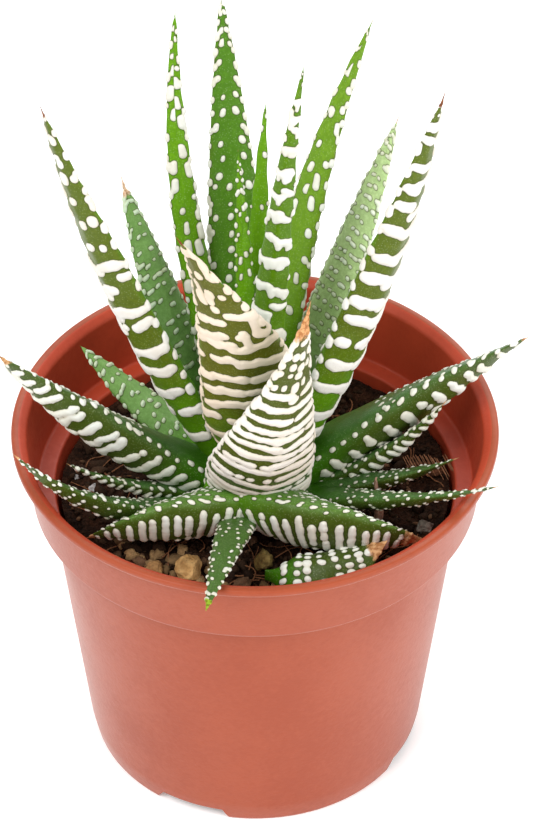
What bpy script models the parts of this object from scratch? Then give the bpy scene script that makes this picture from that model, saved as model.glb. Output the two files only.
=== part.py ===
# Potted haworthia: a rosette of leaves on a short stem, rooted in soil in a thin plastic nursery pot.
# Metres, +Z up, origin at the centre of the pot's flat underside.
import math
import random

import bmesh
import bpy
from mathutils import Matrix, Vector, noise
from mathutils.bvhtree import BVHTree

MM = 0.001
GAP = 0.3 * MM

# pot
POT_HEIGHT = 68.5 * MM
LIP_RADIUS = 42.5 * MM
LIP_HEIGHT = 1.4 * MM
LIP_WIDTH = 1.3 * MM
LIP_BEVEL = 1.1 * MM
COLLAR_WALL = 0.8 * MM
WALL = 1.0 * MM
COLLAR_TOP_RADIUS = 40.6 * MM
COLLAR_BOTTOM_RADIUS = 39.2 * MM
COLLAR_HEIGHT = 13.7 * MM
BODY_TOP_RADIUS = 36.2 * MM
BODY_BOTTOM_RADIUS = 30.4 * MM
BASE_RADIUS = 29.6 * MM
STEP_DROP = 0.9 * MM
FLOOR_THICKNESS = 1.2 * MM
POT_STEPS = 72
DRAIN_COUNT = 4
DRAIN_FIRST_ANGLE = -112.5
DRAIN_WIDTH_ANGLE = 26.0
DRAIN_SLOPE_ANGLE = 2.0
DRAIN_HEIGHT = 2.4 * MM
DRAIN_DEPTH = 6.0 * MM

# soil and stem
SOIL_TOP = 53.0 * MM
SOIL_CROWN = 0.8 * MM
WELL_RADIUS = 6.0 * MM
WELL_DEPTH = 9.0 * MM
STEM_TOP = 68.0 * MM
STEM_RADIUS = 5.4 * MM
STEM_TOP_RADIUS = 1.8 * MM

# leaves
LEAF_ROWS = 13
LEAF_SIDES = 10
KEEL_SHARE = 0.68
WIDEST_AT = 0.28
LAST_RING_AT = 0.985
TWIST_AT_FOOT = 0.4
TWIST_DONE_AT = 0.6
EARLY_BENDERS = ("leaf_15", "leaf_18", "leaf_22")

# name, seat azimuth, seat radius, seat height over the soil, turn of the heading from that azimuth, rise,
# upward curl, sideways sweep, roll, length, width, thickness, foot, fullness: angles in degrees, sizes in
# millimetres. The foot is the share of the full width at the stem, and a fuller leaf keeps its width
# further towards the tip. They run from the heart of the rosette outwards
LEAVES = [
    ("leaf_01", 104, 1.8, 12, 0, 80, 0, 0, 0, 56, 4.0, 2.0, 0.4, 1.5),
    ("leaf_02", 88, 2.2, 10, 0, 78, -12, -9, 0, 63, 5.0, 2.4, 0.4, 1.5),
    ("leaf_03", -58, 1.4, 12, 0, 85, -3, 50, -60, 87, 5.8, 3.4, 0.5, 1.5),
    ("leaf_04", 129, 4.6, 9, 0, 66, 8, -54, 0, 81, 6.0, 3.4, 0.5, 1.5),
    ("leaf_05", 99, 3.6, 7, 0, 60, 12, 0, 0, 82, 11.0, 3.6, 0.4, 1.5),
    ("leaf_06", 48, 3.6, 10, 0, 88, -34, 0, 0, 82, 8.2, 3.6, 0.5, 1.6),
    ("leaf_07", -90, 4.6, 9, 0, 74, -12, -78, 16, 76, 17.0, 7.0, 0.4, 1.85),
    ("leaf_08", -87, 5.0, 6, 0, 52, 28, 72, 0, 68, 18.0, 8.0, 0.8, 1.35),
    ("leaf_09", -5, 4.6, 8, 0, 67, 10, 0, -44, 86, 12.5, 5.6, 0.5, 1.5),
    ("leaf_10", 185, 4.6, 8, 0, 63, 12, 0, 44, 85, 12.0, 5.4, 0.5, 1.5),
    ("leaf_11", 140, 4.8, 6, 0, 54, 18, 0, 0, 56, 9.5, 3.8, 0.5, 1.8),
    ("leaf_12", 40, 4.8, 6, 0, 65, 2, 0, 0, 67, 10.0, 4.0, 0.5, 1.8),
    ("leaf_13", 188, 5.0, 5, 0, 28, 22, 0, 44, 51, 15.5, 8.0, 0.7, 2.3),
    ("leaf_14", 8, 5.0, 5, 0, 32, -4, 0, -44, 50, 15.0, 8.0, 0.7, 2.3),
    ("leaf_15", -104, 7.2, 8.5, 52, 10, -28, 60, -56, 36, 18.0, 9.5, 0.9, 2.6),
    ("leaf_16", 156, 5.0, 4, 0, 22, 20, 0, 0, 34, 8.5, 4.0, 0.5, 1.9),
    ("leaf_17", -4, 5.2, 2, 0, 14, 46, 0, -40, 36, 7.5, 4.0, 0.5, 1.5),
    ("leaf_18", -82, 7.4, 8, -60, 10, -29, -36, 56, 33, 15.5, 8.5, 0.9, 2.4),
    ("leaf_19", -99, 5.2, 2, 0, 31, -22, 0, 0, 49, 6.4, 3.4, 0.35, 1.5),
    ("leaf_20", 213, 5.2, 2, 0, 7, 48, -28, 36, 49, 8.0, 4.6, 0.4, 1.9),
    ("leaf_21", 200, 5.2, 3, 0, 8, 30, -12, 30, 32, 5.5, 3.2, 0.5, 1.5),
    ("leaf_22", -86, 25.2, 2.7, -104, 182, -44, 26, 12, 23, 8.5, 6.0, 0.12, 2.6),
    ("leaf_23", -35, 5.2, 3, 0, 20, 8, 20, -26, 47, 6.5, 3.6, 0.5, 1.5),
    ("leaf_24", -14, 5.2, 3, 0, 8, 28, 0, -26, 34, 7.0, 3.8, 0.5, 1.9),
    ("leaf_25", 70, 5.2, 3, 0, 24, 8, 0, 0, 33, 8.5, 3.8, 0.5, 1.5),
    ("leaf_26", 115, 5.2, 3, 0, 22, 10, 0, 0, 33, 8.5, 3.8, 0.5, 1.5),
]

WITHERED_START = Vector((21.5, -10.0, 53.4)) * MM
WITHERED_ANGLES = (90, 86, 4, 0, 0)
WITHERED_SIZES = (11.0, 2.4, 0.5, 0.5, 1.5)

# name, azimuth, distance from the axis, length, width, height: millimetres
STONES = [
    ("stone_ochre", -117, 25.5, 6.4, 5.2, 4.6),
    ("stone_small_ochre", -128, 28.0, 4.2, 3.6, 3.2),
    ("stone_pink", -109, 30.5, 3.6, 3.0, 2.8),
    ("stone_olive", -86, 20.5, 4.6, 4.0, 4.2),
    ("stone_tan", -45, 31.5, 6.0, 4.2, 2.6),
    ("stone_grey", -20, 31.5, 4.0, 3.4, 2.8),
    ("stone_back", 62, 29.0, 4.6, 4.0, 3.0),
    ("stone_left", 150, 30.5, 4.2, 3.6, 2.8),
    ("bark_front", -95, 26.0, 4.2, 3.0, 3.4),
    ("bark_chip", 9, 30.5, 8.0, 4.6, 2.2),
    ("perlite_outer", 175, 31.8, 1.8, 1.7, 1.6),
    ("perlite_inner", 180, 28.6, 1.9, 1.8, 1.7),
]

COLORS = {
    "pot": (0.52, 0.14, 0.08, 0.5),
    "soil": (0.03, 0.018, 0.012, 0.95),
    "leaf": (0.07, 0.20, 0.03, 0.45),
    "stem": (0.16, 0.22, 0.08, 0.6),
    "withered": (0.30, 0.17, 0.10, 0.8),
    "stone": (0.42, 0.27, 0.12, 0.7),
    "bark": (0.12, 0.06, 0.035, 0.9),
    "perlite": (0.75, 0.73, 0.70, 0.8),
}


def clear_scene():
    for old in list(bpy.data.objects):
        bpy.data.objects.remove(old, do_unlink=True)


def material(name):
    found = bpy.data.materials.get(name)
    if found:
        return found
    made = bpy.data.materials.new(name)
    made.use_nodes = True
    red, green, blue, roughness = COLORS[name]
    shader = made.node_tree.nodes["Principled BSDF"]
    shader.inputs["Base Color"].default_value = (red, green, blue, 1.0)
    shader.inputs["Roughness"].default_value = roughness
    shader.inputs["Metallic"].default_value = 0.0
    return made


def add_object(name, mesh_data, look):
    piece = bpy.data.objects.new(name, mesh_data)
    bpy.context.collection.objects.link(piece)
    piece.data.materials.append(material(look))
    return piece


def mesh_from(name, shape):
    bmesh.ops.recalc_face_normals(shape, faces=shape.faces)
    mesh_data = bpy.data.meshes.new(name)
    shape.to_mesh(mesh_data)
    shape.free()
    mesh_data.shade_smooth()
    mesh_data.set_sharp_from_angle(angle=math.radians(40))
    return mesh_data


def ring_on_axis(shape, radius, height, steps):
    turns = [2 * math.pi * step / steps for step in range(steps)]
    return [shape.verts.new((radius * math.cos(turn), radius * math.sin(turn), height)) for turn in turns]


def join_rings(shape, lower, upper):
    count = len(lower)
    for step in range(count):
        after = (step + 1) % count
        shape.faces.new((lower[step], lower[after], upper[after], upper[step]))


def turned(name, profile, steps=POT_STEPS):
    # the profile runs from one point on the axis to another, as (radius, height)
    shape = bmesh.new()
    rings = [ring_on_axis(shape, radius, height, steps) for radius, height in profile[1:-1]]
    for lower, upper in zip(rings, rings[1:]):
        join_rings(shape, lower, upper)
    for (radius, height), ring in ((profile[0], rings[0]), (profile[-1], rings[-1])):
        centre = shape.verts.new((0.0, 0.0, height))
        for step in range(steps):
            shape.faces.new((centre, ring[step], ring[(step + 1) % steps]))
    return mesh_from(name, shape)


def pot_inner_radius(height):
    # the inside of the body below the collar's step
    low = BODY_BOTTOM_RADIUS - WALL
    high = BODY_TOP_RADIUS - WALL
    share = (height - FLOOR_THICKNESS) / (POT_HEIGHT - COLLAR_HEIGHT - FLOOR_THICKNESS)
    return low + (high - low) * share


def cut(piece, cutter, solver="EXACT"):
    modifier = piece.modifiers.new("cut", "BOOLEAN")
    modifier.operation = "DIFFERENCE"
    modifier.object = cutter
    modifier.solver = solver
    bpy.context.view_layer.update()
    evaluated = piece.evaluated_get(bpy.context.evaluated_depsgraph_get())
    result = bpy.data.meshes.new_from_object(evaluated)
    piece.modifiers.remove(modifier)
    piece.data = result


def drain_cutter(angle):
    # a sloped-sided notch through the bottom corner, as wide angles below as above
    shape = bmesh.new()
    low = -1.0 * MM
    inner = BASE_RADIUS - DRAIN_DEPTH
    outer = BODY_BOTTOM_RADIUS + 4.0 * MM
    steps = 7
    rows = []
    for height, widen in ((low, DRAIN_SLOPE_ANGLE), (DRAIN_HEIGHT, -DRAIN_SLOPE_ANGLE)):
        half = DRAIN_WIDTH_ANGLE / 2 + widen
        turns = [math.radians(angle - half + 2 * half * step / steps) for step in range(steps + 1)]
        inside = [(inner * math.cos(turn), inner * math.sin(turn), height) for turn in turns]
        outside = [(outer * math.cos(turn), outer * math.sin(turn), height) for turn in reversed(turns)]
        rows.append([shape.verts.new(point) for point in inside + outside])
    join_rings(shape, rows[0], rows[1])
    for row in rows:
        for step in range(steps):
            last = len(row) - 1
            shape.faces.new((row[step], row[step + 1], row[last - step - 1], row[last - step]))
    return add_object("drain_cutter", mesh_from("drain_cutter", shape), "pot")


def build_pot():
    step_height = POT_HEIGHT - COLLAR_HEIGHT
    lip_base = POT_HEIGHT - LIP_HEIGHT
    round_over = 0.4 * MM
    profile = [
        (0.0, 0.0),
        (8.0 * MM, 0.0),
        (BASE_RADIUS - 8.0 * MM, 0.0),
        (BASE_RADIUS - 1.0 * MM, 0.0),
        (BASE_RADIUS, 0.6 * MM),
        (BODY_BOTTOM_RADIUS, 4.0 * MM),
        (BODY_TOP_RADIUS, step_height - STEP_DROP),
        (BODY_TOP_RADIUS + 0.5 * MM, step_height - 0.3 * MM),
        (COLLAR_BOTTOM_RADIUS - 0.5 * MM, step_height),
        (COLLAR_BOTTOM_RADIUS, step_height + 0.5 * MM),
        (COLLAR_TOP_RADIUS, lip_base - round_over),
        (COLLAR_TOP_RADIUS + round_over, lip_base),
        (LIP_RADIUS - round_over, lip_base),
        (LIP_RADIUS, lip_base + round_over),
        (LIP_RADIUS, POT_HEIGHT - round_over),
        (LIP_RADIUS - round_over, POT_HEIGHT),
        (LIP_RADIUS - LIP_WIDTH, POT_HEIGHT),
        (COLLAR_TOP_RADIUS - COLLAR_WALL, POT_HEIGHT - LIP_BEVEL),
        (COLLAR_BOTTOM_RADIUS - COLLAR_WALL, step_height + 1.4 * MM),
        (COLLAR_BOTTOM_RADIUS - COLLAR_WALL - 0.4 * MM, step_height + 1.0 * MM),
        (BODY_TOP_RADIUS - WALL + 0.4 * MM, step_height + 1.0 * MM),
        (BODY_TOP_RADIUS - WALL, step_height),
        (BODY_BOTTOM_RADIUS - WALL, FLOOR_THICKNESS + 2.4 * MM),
        (BASE_RADIUS - WALL, FLOOR_THICKNESS),
        (8.0 * MM, FLOOR_THICKNESS),
        (0.0, FLOOR_THICKNESS),
    ]
    pot = add_object("pot", turned("pot", profile), "pot")
    for index in range(DRAIN_COUNT):
        cutter = drain_cutter(DRAIN_FIRST_ANGLE + index * 360 / DRAIN_COUNT)
        cut(pot, cutter)
        bpy.data.objects.remove(cutter, do_unlink=True)


def build_soil():
    floor = FLOOR_THICKNESS + GAP
    corner = FLOOR_THICKNESS + 4.0 * MM
    edge = SOIL_TOP - SOIL_CROWN
    profile = [
        (0.0, floor),
        (BASE_RADIUS - DRAIN_DEPTH - 1.0 * MM, floor),
        (pot_inner_radius(corner) - 2 * GAP, corner),
        (pot_inner_radius(edge) - 2 * GAP, edge),
        (26.0 * MM, SOIL_TOP - 0.2 * MM),
        (14.0 * MM, SOIL_TOP),
        (WELL_RADIUS, SOIL_TOP),
        (WELL_RADIUS, SOIL_TOP - WELL_DEPTH),
        (0.0, SOIL_TOP - WELL_DEPTH),
    ]
    add_object("soil", turned("soil", profile), "soil")


def stem_mesh(grow):
    bottom = SOIL_TOP - WELL_DEPTH + GAP - grow
    profile = [
        (0.0, bottom),
        (STEM_RADIUS - 1.0 * MM + grow, bottom),
        (STEM_RADIUS + grow, bottom + 3.0 * MM),
        (STEM_RADIUS + grow, SOIL_TOP + 4.0 * MM),
        (STEM_TOP_RADIUS + 1.2 * MM + grow, STEM_TOP - 5.0 * MM),
        (STEM_TOP_RADIUS + grow, STEM_TOP + grow),
        (0.0, STEM_TOP + grow),
    ]
    return turned("stem", profile, 24)


def width_share(along, foot, fullness):
    if along < WIDEST_AT:
        ease = along / WIDEST_AT
        return foot + (1.0 - foot) * ease * ease * (3.0 - 2.0 * ease)
    toward_tip = (along - WIDEST_AT) / (1.0 - WIDEST_AT)
    return (1.0 - toward_tip ** fullness) ** 0.9


def blade_mesh(name, start, angles, sizes, grow=0.0):
    # a tapering blade with a shallow inner face and a deeper keeled outer one, along a bending centreline
    azimuth, rise, curl, sweep, roll = angles
    length, width, thickness, foot, fullness = sizes
    length *= MM
    width *= MM
    thickness *= MM
    bend_power = 1 if name in EARLY_BENDERS else 2
    shape = bmesh.new()
    rows = []
    point = start.copy()
    before = 0.0
    for row in range(LEAF_ROWS):
        along = LAST_RING_AT * row / (LEAF_ROWS - 1)
        middle = (along + before) / 2
        heading = math.radians(azimuth + sweep * middle ** bend_power)
        climb = math.radians(rise + curl * middle)
        tangent = Vector((math.cos(climb) * math.cos(heading), math.cos(climb) * math.sin(heading),
                          math.sin(climb)))
        point = point + tangent * length * (along - before)
        side = Vector((-math.sin(heading), math.cos(heading), 0.0))
        inward = tangent.cross(side)
        twist = math.radians(roll) * (TWIST_AT_FOOT + min(along, TWIST_DONE_AT))
        turn = Matrix.Rotation(twist, 3, tangent)
        side = turn @ side
        inward = turn @ inward
        centre = point - tangent * grow if row == 0 else point
        half = width / 2 * width_share(along, foot, fullness) + grow
        deep = thickness * (0.35 + 0.65 * width_share(along, foot, fullness)) * (1.0 - along ** 3) + grow
        ring = []
        for corner in range(LEAF_SIDES):
            angle = 2 * math.pi * corner / LEAF_SIDES
            share = 1.0 - KEEL_SHARE if math.sin(angle) > 0 else KEEL_SHARE
            offset = side * half * math.cos(angle) + inward * (deep * share + grow) * math.sin(angle)
            ring.append(shape.verts.new(centre + offset))
        rows.append(ring)
        before = along
    for lower, upper in zip(rows, rows[1:]):
        join_rings(shape, lower, upper)
    shape.faces.new(rows[0])
    apex = shape.verts.new(point + tangent * (length * (1.0 - LAST_RING_AT) + grow))
    for corner in range(LEAF_SIDES):
        shape.faces.new((apex, rows[-1][corner], rows[-1][(corner + 1) % LEAF_SIDES]))
    return mesh_from(name, shape)


def leaf_mesh(spec, grow=0.0):
    name, azimuth, seat_radius, seat_height, aim, rise, curl, sweep, roll = spec[:9]
    heading = math.radians(azimuth)
    start = Vector((seat_radius * MM * math.cos(heading), seat_radius * MM * math.sin(heading),
                    SOIL_TOP + seat_height * MM))
    return blade_mesh(name, start, (azimuth + aim, rise, curl, sweep, roll), spec[9:], grow)


def tree_of(mesh_data):
    corners = [vertex.co.copy() for vertex in mesh_data.vertices]
    return BVHTree.FromPolygons(corners, [tuple(face.vertices) for face in mesh_data.polygons])


def keep_largest(piece):
    # a cut can leave a sliver behind: only the leaf itself stays
    shape = bmesh.new()
    shape.from_mesh(piece.data)
    left = set(shape.verts)
    islands = []
    while left:
        island = set()
        edge = [left.pop()]
        while edge:
            vertex = edge.pop()
            island.add(vertex)
            for link in vertex.link_edges:
                other = link.other_vert(vertex)
                if other in left:
                    left.remove(other)
                    edge.append(other)
        islands.append(island)
    islands.sort(key=len, reverse=True)
    for island in islands[1:]:
        bmesh.ops.delete(shape, geom=list(island), context="VERTS")
    shape.to_mesh(piece.data)
    shape.free()


def build_leaves():
    stem = add_object("stem", stem_mesh(0.0), "stem")
    placed = [("stem", stem_mesh(GAP))]
    for spec in LEAVES:
        leaf = add_object(spec[0], leaf_mesh(spec), "leaf")
        for name, clearance in placed:
            if tree_of(leaf.data).overlap(tree_of(clearance)):
                cutter = add_object("clearance_cutter", clearance, "leaf")
                cut(leaf, cutter)
                bpy.data.objects.remove(cutter, do_unlink=True)
        keep_largest(leaf)
        placed.append((spec[0], leaf_mesh(spec, GAP)))


def build_withered_leaf():
    blade = blade_mesh("withered_leaf", WITHERED_START, WITHERED_ANGLES, WITHERED_SIZES)
    add_object("withered_leaf", blade, "withered")


def soil_height(radius):
    edge_radius = pot_inner_radius(SOIL_TOP)
    if radius < 26.0 * MM:
        return SOIL_TOP
    share = (radius - 26.0 * MM) / (edge_radius - 26.0 * MM)
    return SOIL_TOP - 0.2 * MM - (SOIL_CROWN - 0.2 * MM) * share


def build_stone(index, spec):
    name, azimuth, distance, length, width, height = spec
    rng = random.Random(index)
    shape = bmesh.new()
    bmesh.ops.create_icosphere(shape, subdivisions=2, radius=0.5)
    shift = Vector((rng.uniform(0, 50), rng.uniform(0, 50), rng.uniform(0, 50)))
    for vertex in shape.verts:
        vertex.co *= 1.0 + 0.22 * noise.noise(vertex.co * 2.2 + shift)
    turn = Matrix.Rotation(rng.uniform(0, math.pi), 4, "Z")
    size = Matrix.Diagonal((length * MM, width * MM, height * MM, 1.0))
    bmesh.ops.transform(shape, matrix=turn @ size, verts=shape.verts)
    lowest = min(vertex.co.z for vertex in shape.verts)
    heading = math.radians(azimuth)
    inner_edge = distance * MM - length * MM / 2
    seat = soil_height(max(inner_edge, 0.0)) + GAP - lowest
    place = Vector((distance * MM * math.cos(heading), distance * MM * math.sin(heading), seat))
    bmesh.ops.translate(shape, vec=place, verts=shape.verts)
    look = name.split("_")[0]
    add_object(name, mesh_from(name, shape), look)


def main():
    clear_scene()
    build_pot()
    build_soil()
    build_leaves()
    build_withered_leaf()
    for index, spec in enumerate(STONES):
        build_stone(index, spec)


main()
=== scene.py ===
import math
import random

import bmesh
import bpy
import numpy as np
from mathutils import Matrix, Vector, noise


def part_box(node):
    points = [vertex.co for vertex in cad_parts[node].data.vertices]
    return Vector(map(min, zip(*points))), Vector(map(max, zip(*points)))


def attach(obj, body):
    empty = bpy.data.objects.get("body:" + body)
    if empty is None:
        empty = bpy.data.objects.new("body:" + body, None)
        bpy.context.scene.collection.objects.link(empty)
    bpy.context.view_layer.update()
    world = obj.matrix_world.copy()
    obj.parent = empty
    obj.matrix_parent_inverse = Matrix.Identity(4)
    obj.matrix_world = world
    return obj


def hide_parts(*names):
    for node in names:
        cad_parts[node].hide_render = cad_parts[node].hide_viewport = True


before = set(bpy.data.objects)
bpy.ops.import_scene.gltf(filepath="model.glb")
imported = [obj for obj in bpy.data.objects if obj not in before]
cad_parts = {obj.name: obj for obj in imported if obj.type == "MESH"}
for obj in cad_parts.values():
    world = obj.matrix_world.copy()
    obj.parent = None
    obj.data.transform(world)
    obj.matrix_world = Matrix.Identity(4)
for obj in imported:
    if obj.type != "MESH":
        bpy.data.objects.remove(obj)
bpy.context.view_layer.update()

mm = 0.001
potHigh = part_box("pot")[1]
soilLow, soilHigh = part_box("soil")
potTop = potHigh.z
potRadius = potHigh.y
soilTop = soilHigh.z
print("frame loaded:", len(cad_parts), "nodes, pot", round(potTop / mm, 1), "mm high")

cameraSettings = {"lens": 175.2, "sensor": 36.0, "clipEnd": 20.0, "pitch": 40.9, "distance": 697 * mm,
                  "shiftRight": 2.0 * mm, "shiftUp": 2.3 * mm}
lightSettings = {
    "key": {"place": (-0.45, -0.5, 0.95), "size": 0.6, "power": 7.8},
    "fill": {"place": (0.75, -0.55, 0.55), "size": 0.8, "power": 5.6},
    "back": {"place": (0.15, 0.85, 0.75), "size": 0.8, "power": 5.0},
}
worldSettings = {"color": (1.0, 1.0, 1.0, 1.0), "strength": 0.72}


def placeObject(name, data):
    placed = bpy.data.objects.new(name, data)
    bpy.context.collection.objects.link(placed)
    return placed


def buildCamera():
    # looks along +Y and down, at the middle of the rim
    pitch = math.radians(cameraSettings["pitch"])
    forward = Vector((0.0, math.cos(pitch), -math.sin(pitch)))
    up = Vector((0.0, math.sin(pitch), math.cos(pitch)))
    data = bpy.data.cameras.new("viewCamera")
    data.lens = cameraSettings["lens"]
    data.sensor_width = cameraSettings["sensor"]
    data.clip_end = cameraSettings["clipEnd"]
    camera = placeObject("viewCamera", data)
    rim = Vector((0.0, 0.0, potTop))
    side = Vector((cameraSettings["shiftRight"], 0.0, 0.0))
    camera.location = rim + side + up * cameraSettings["shiftUp"] - forward * cameraSettings["distance"]
    camera.rotation_euler = (math.pi / 2 - pitch, 0.0, 0.0)
    bpy.context.scene.camera = camera


def buildLights():
    # three soft discs round the pot, in a white room
    target = Vector((0.0, 0.0, potTop))
    for name, light in lightSettings.items():
        data = bpy.data.lights.new(name, "AREA")
        data.shape = "DISK"
        data.size = light["size"]
        data.energy = light["power"]
        lamp = placeObject(name, data)
        lamp.location = light["place"]
        lamp.rotation_euler = (target - lamp.location).to_track_quat("-Z", "Y").to_euler()
    world = bpy.data.worlds.new("softRoom")
    world.use_nodes = True
    background = world.node_tree.nodes["Background"]
    background.inputs["Color"].default_value = worldSettings["color"]
    background.inputs["Strength"].default_value = worldSettings["strength"]
    bpy.context.scene.world = world


def newGroup(name, inputs, outputs):
    tree = bpy.data.node_groups.new(name, "ShaderNodeTree")
    for label, kind, value in inputs:
        socket = tree.interface.new_socket(name=label, in_out="INPUT", socket_type=kind)
        socket.default_value = value
    for label, kind in outputs:
        tree.interface.new_socket(name=label, in_out="OUTPUT", socket_type=kind)
    return tree, tree.nodes.new("NodeGroupInput"), tree.nodes.new("NodeGroupOutput")


def feed(tree, socket, value):
    # a plain value is set on the socket, and another socket is linked to it
    if isinstance(value, (int, float, tuple)):
        socket.default_value = value
    else:
        tree.links.new(value, socket)


def addNode(tree, kind, settings=None, **values):
    node = tree.nodes.new(kind)
    for key, value in (settings or {}).items():
        setattr(node, key, value)
    for key, value in values.items():
        feed(tree, node.inputs[key], value)
    return node


def noiseNode(tree, scale, detail, roughness=0.55):
    return addNode(tree, "ShaderNodeTexNoise", Detail=detail, Roughness=roughness, Scale=scale)


def rampMask(tree, source, low, high):
    node = addNode(tree, "ShaderNodeMapRange", {"interpolation_type": "SMOOTHSTEP"}, Value=source)
    feed(tree, node.inputs["From Min"], low)
    feed(tree, node.inputs["From Max"], high)
    return node.outputs["Result"]


def mixColor(tree, factor, first, second, blend="MIX"):
    node = addNode(tree, "ShaderNodeMix", {"data_type": "RGBA", "blend_type": blend})
    for index, value in ((0, factor), (6, first), (7, second)):
        feed(tree, node.inputs[index], value)
    return node.outputs[2]


def calc(tree, operation, *values, clamp=False):
    node = addNode(tree, "ShaderNodeMath", {"operation": operation, "use_clamp": clamp})
    for socket, value in zip(node.inputs, values):
        feed(tree, socket, value)
    return node.outputs[0]


driftRules = {"coarseDetail": 4.0, "fineDetail": 3.0, "coarseShare": 0.65, "fineShare": 0.35, "from": 0.38,
              "to": 0.64}


def buildDriftGroup():
    # slow colour drift at two sizes, from one colour towards another
    tree, start, end = newGroup(
        "colorDrift",
        [("Color", "NodeSocketColor", (0.5, 0.5, 0.5, 1.0)),
         ("Drift Color", "NodeSocketColor", (0.4, 0.4, 0.4, 1.0)),
         ("Coarse Scale", "NodeSocketFloat", 60.0), ("Fine Scale", "NodeSocketFloat", 700.0),
         ("Amount", "NodeSocketFloat", 0.5)],
        [("Color", "NodeSocketColor"), ("Mask", "NodeSocketFloat")])
    place = addNode(tree, "ShaderNodeTexCoord")
    coarse = noiseNode(tree, start.outputs["Coarse Scale"], driftRules["coarseDetail"])
    fine = noiseNode(tree, start.outputs["Fine Scale"], driftRules["fineDetail"])
    for node in (coarse, fine):
        tree.links.new(place.outputs["Object"], node.inputs["Vector"])
    fineShare = calc(tree, "MULTIPLY", fine.outputs["Fac"], driftRules["fineShare"])
    both = calc(tree, "MULTIPLY_ADD", coarse.outputs["Fac"], driftRules["coarseShare"], fineShare)
    mask = rampMask(tree, both, driftRules["from"], driftRules["to"])
    scaled = calc(tree, "MULTIPLY", mask, start.outputs["Amount"], clamp=True)
    drifted = mixColor(tree, scaled, start.outputs["Color"], start.outputs["Drift Color"])
    tree.links.new(drifted, end.inputs["Color"])
    tree.links.new(mask, end.inputs["Mask"])
    return tree


def buildGrainGroup():
    # fine surface grain for bumps
    tree, start, end = newGroup(
        "fineGrain",
        [("Scale", "NodeSocketFloat", 2000.0), ("Pits", "NodeSocketFloat", 0.3)],
        [("Height", "NodeSocketFloat")])
    place = addNode(tree, "ShaderNodeTexCoord").outputs["Object"]
    fine = noiseNode(tree, start.outputs["Scale"], 5.0, 0.6)
    tree.links.new(place, fine.inputs["Vector"])
    cells = addNode(tree, "ShaderNodeTexVoronoi", Vector=place, Scale=start.outputs["Scale"])
    pits = calc(tree, "MULTIPLY", cells.outputs["Distance"], start.outputs["Pits"])
    tree.links.new(calc(tree, "ADD", fine.outputs["Fac"], pits), end.inputs["Height"])
    return tree


def placeGroup(tree, group, **values):
    node = addNode(tree, "ShaderNodeGroup", {"node_tree": group})
    for key, value in values.items():
        feed(tree, node.inputs[key.replace("_", " ")], value)
    return node


def newMaterial(name, roughness, specular):
    made = bpy.data.materials.new(name)
    made.use_nodes = True
    tree = made.node_tree
    shader = tree.nodes["Principled BSDF"]
    shader.inputs["Roughness"].default_value = roughness
    shader.inputs["Specular IOR Level"].default_value = specular
    return made, tree, shader


def addBump(tree, shader, height, strength, distance):
    bump = addNode(tree, "ShaderNodeBump", Strength=strength, Distance=distance, Height=height)
    tree.links.new(bump.outputs["Normal"], shader.inputs["Normal"])


def attribute(tree, name):
    return addNode(tree, "ShaderNodeAttribute", {"attribute_name": name}).outputs["Fac"]


driftGroup = buildDriftGroup()
grainGroup = buildGrainGroup()
print("shader groups built")


def addDrift(tree, shader, look, color, driftColor):
    # colour drift over a whole surface; gives back the drift's mask
    drift = placeGroup(tree, driftGroup, Color=color, Drift_Color=driftColor, Coarse_Scale=look["coarse"],
                       Fine_Scale=look["fine"], Amount=look["amount"])
    tree.links.new(drift.outputs["Color"], shader.inputs["Base Color"])
    return drift.outputs["Mask"]


def addFinish(tree, shader, look, color, driftColor):
    # the drift with fine grain over it; gives back the drift's mask too
    mask = addDrift(tree, shader, look, color, driftColor)
    grain = placeGroup(tree, grainGroup, Scale=look["grain"], Pits=look["pits"])
    addBump(tree, shader, grain.outputs["Height"], look["bump"], look["depth"])
    return mask


def plainMaterial(name, look):
    made, tree, shader = newMaterial(name, look["roughness"], look["specular"])
    addFinish(tree, shader, look, look["color"], look["drift"])
    return made


toneRules = {"shade": (0.03, 0.018, 0.01, 1.0), "shadeShare": 0.45, "fineTimes": 5, "grainTimes": 4}


def toneMaterial(name, dark, light, roughness, scale):
    # a mineral or bark look whose tone comes from each grain's own value
    made, tree, shader = newMaterial(name, roughness, 0.12)
    base = mixColor(tree, attribute(tree, "tone"), dark, light)
    shade = mixColor(tree, toneRules["shadeShare"], base, toneRules["shade"])
    look = {"coarse": scale, "fine": scale * toneRules["fineTimes"], "amount": 0.9,
            "grain": scale * toneRules["grainTimes"], "pits": 0.8, "bump": 0.5, "depth": 0.4 * mm}
    addFinish(tree, shader, look, base, shade)
    return made


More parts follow.
